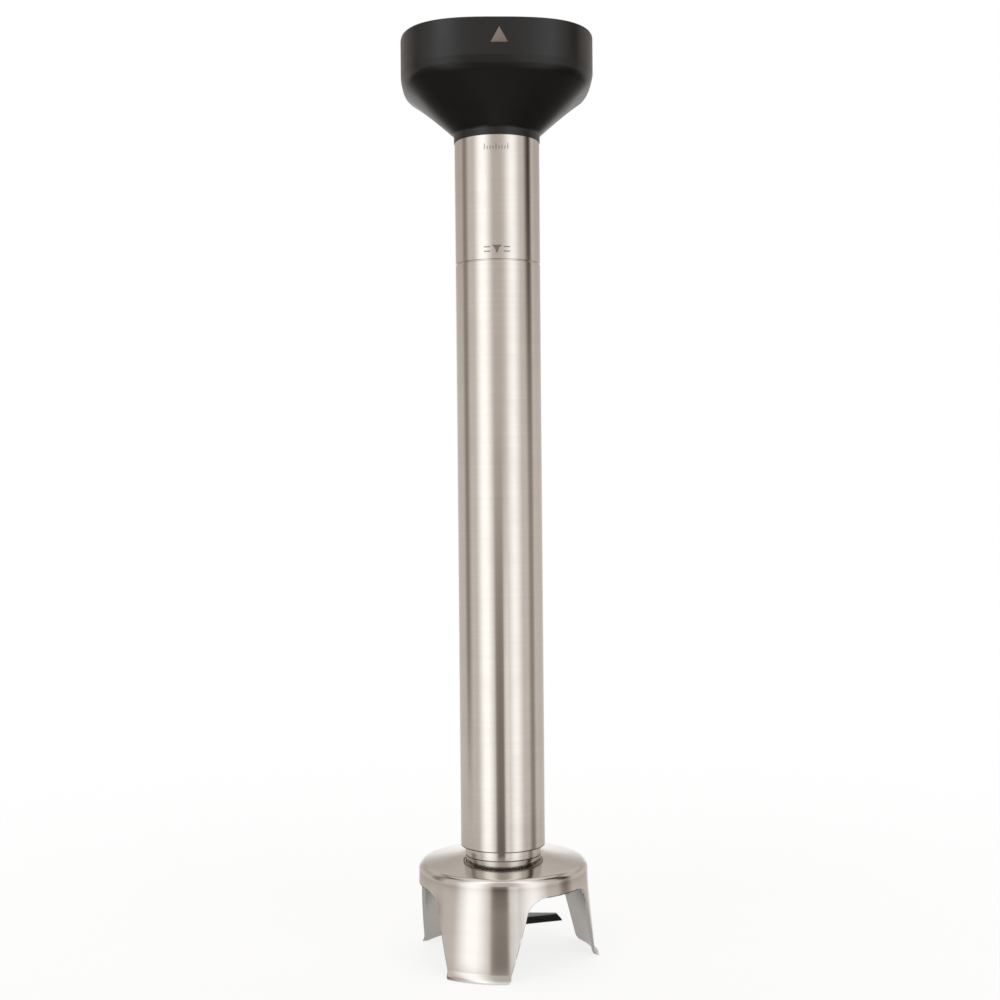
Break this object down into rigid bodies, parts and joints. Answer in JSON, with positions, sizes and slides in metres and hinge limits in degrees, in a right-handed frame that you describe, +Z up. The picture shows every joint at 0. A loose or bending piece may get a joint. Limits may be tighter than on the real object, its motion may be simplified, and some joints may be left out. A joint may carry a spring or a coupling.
{
  "type": "immersion blender mixing arm",
  "caption": "Detachable mixing arm of a stick blender: square coupling head, long steel tube with a level groove, legged blade guard and a winged blade on an inner shaft.",
  "frame": {"origin": "on the arm's axis, in the plane of the guard's feet, under the middle of the bounding box", "axes": "+Z up along the arm's axis from the blade to the coupling head, -Y out of the head's face with the arrow, +X to the right of someone facing the arrow"},
  "size_m": [0.0786, 0.0786, 0.3752],
  "materials": {
    "black_plastic": "satin moulded plastic with a fine grain",
    "pale_mark": "matt warm grey",
    "brushed_steel": "fine lengthwise brushing",
    "polished_steel": "mirror polished",
    "machined_steel": "turned",
    "bearing_steel": "ground",
    "screw_steel": "bright",
    "spring_steel": "phosphated",
    "blade_coating": "dark hard coating, satin",
    "black_rubber": "matt",
    "bronze": "sintered bronze",
    "nylon": "natural nylon"
  },
  "bodies": {
    "arm": {"blade_guard": "polished_steel", "guard_clamp_nut": "machined_steel", "lower_bearing_housing": "polished_steel", "housing_o_ring": "black_rubber", "lip_seal": "black_rubber", "seal_garter_spring": "spring_steel", "lower_outer_race": "bearing_steel", "lower_housing_circlip": "spring_steel", "arm_tube": "brushed_steel", "shaft_guide": "nylon", "guide_bush": "bronze", "upper_bearing_housing": "machined_steel", "upper_outer_race": "bearing_steel", "upper_housing_circlip": "spring_steel", "coupling_head": "black_plastic", "alignment_arrow": "pale_mark", "nose_seal": "black_rubber", "bayonet_ring": "machined_steel", "flange_screw_1": "screw_steel", "ring_screw_1": "screw_steel", "flange_screw_2": "screw_steel", "ring_screw_2": "screw_steel", "flange_screw_3": "screw_steel", "ring_screw_3": "screw_steel", "flange_screw_4": "screw_steel", "ring_screw_4": "screw_steel"},
    "rotor": {"drive_shaft": "machined_steel", "drive_coupling": "machined_steel", "coupling_pin": "spring_steel", "upper_inner_race": "bearing_steel", "upper_shaft_circlip": "spring_steel", "lower_inner_race": "bearing_steel", "lower_shaft_circlip": "spring_steel", "seal_sleeve": "machined_steel", "blade_hub": "machined_steel", "blade": "blade_coating", "blade_washer": "screw_steel", "blade_nut": "screw_steel"},
    "upper_cage": {"upper_ball_cage": "bearing_steel"},
    "lower_cage": {"lower_ball_cage": "bearing_steel"}
  },
  "joints": [
    {"name": "shaft_spin", "type": "hinge", "parent": "arm", "child": "rotor", "pos_m": [0, 0, 0.2], "axis": [0, 0, 1], "continuous": true},
    {"name": "upper_cage_spin", "type": "hinge", "parent": "arm", "child": "upper_cage", "pos_m": [0, 0, 0.34676], "axis": [0, 0, 1], "continuous": true},
    {"name": "lower_cage_spin", "type": "hinge", "parent": "arm", "child": "lower_cage", "pos_m": [0, 0, 0.053], "axis": [0, 0, 1], "continuous": true}
  ],
  "couplings": [
    {"joint": "upper_cage_spin", "follows": "shaft_spin", "ratio": 0.36793},
    {"joint": "lower_cage_spin", "follows": "shaft_spin", "ratio": 0.36793}
  ]
}
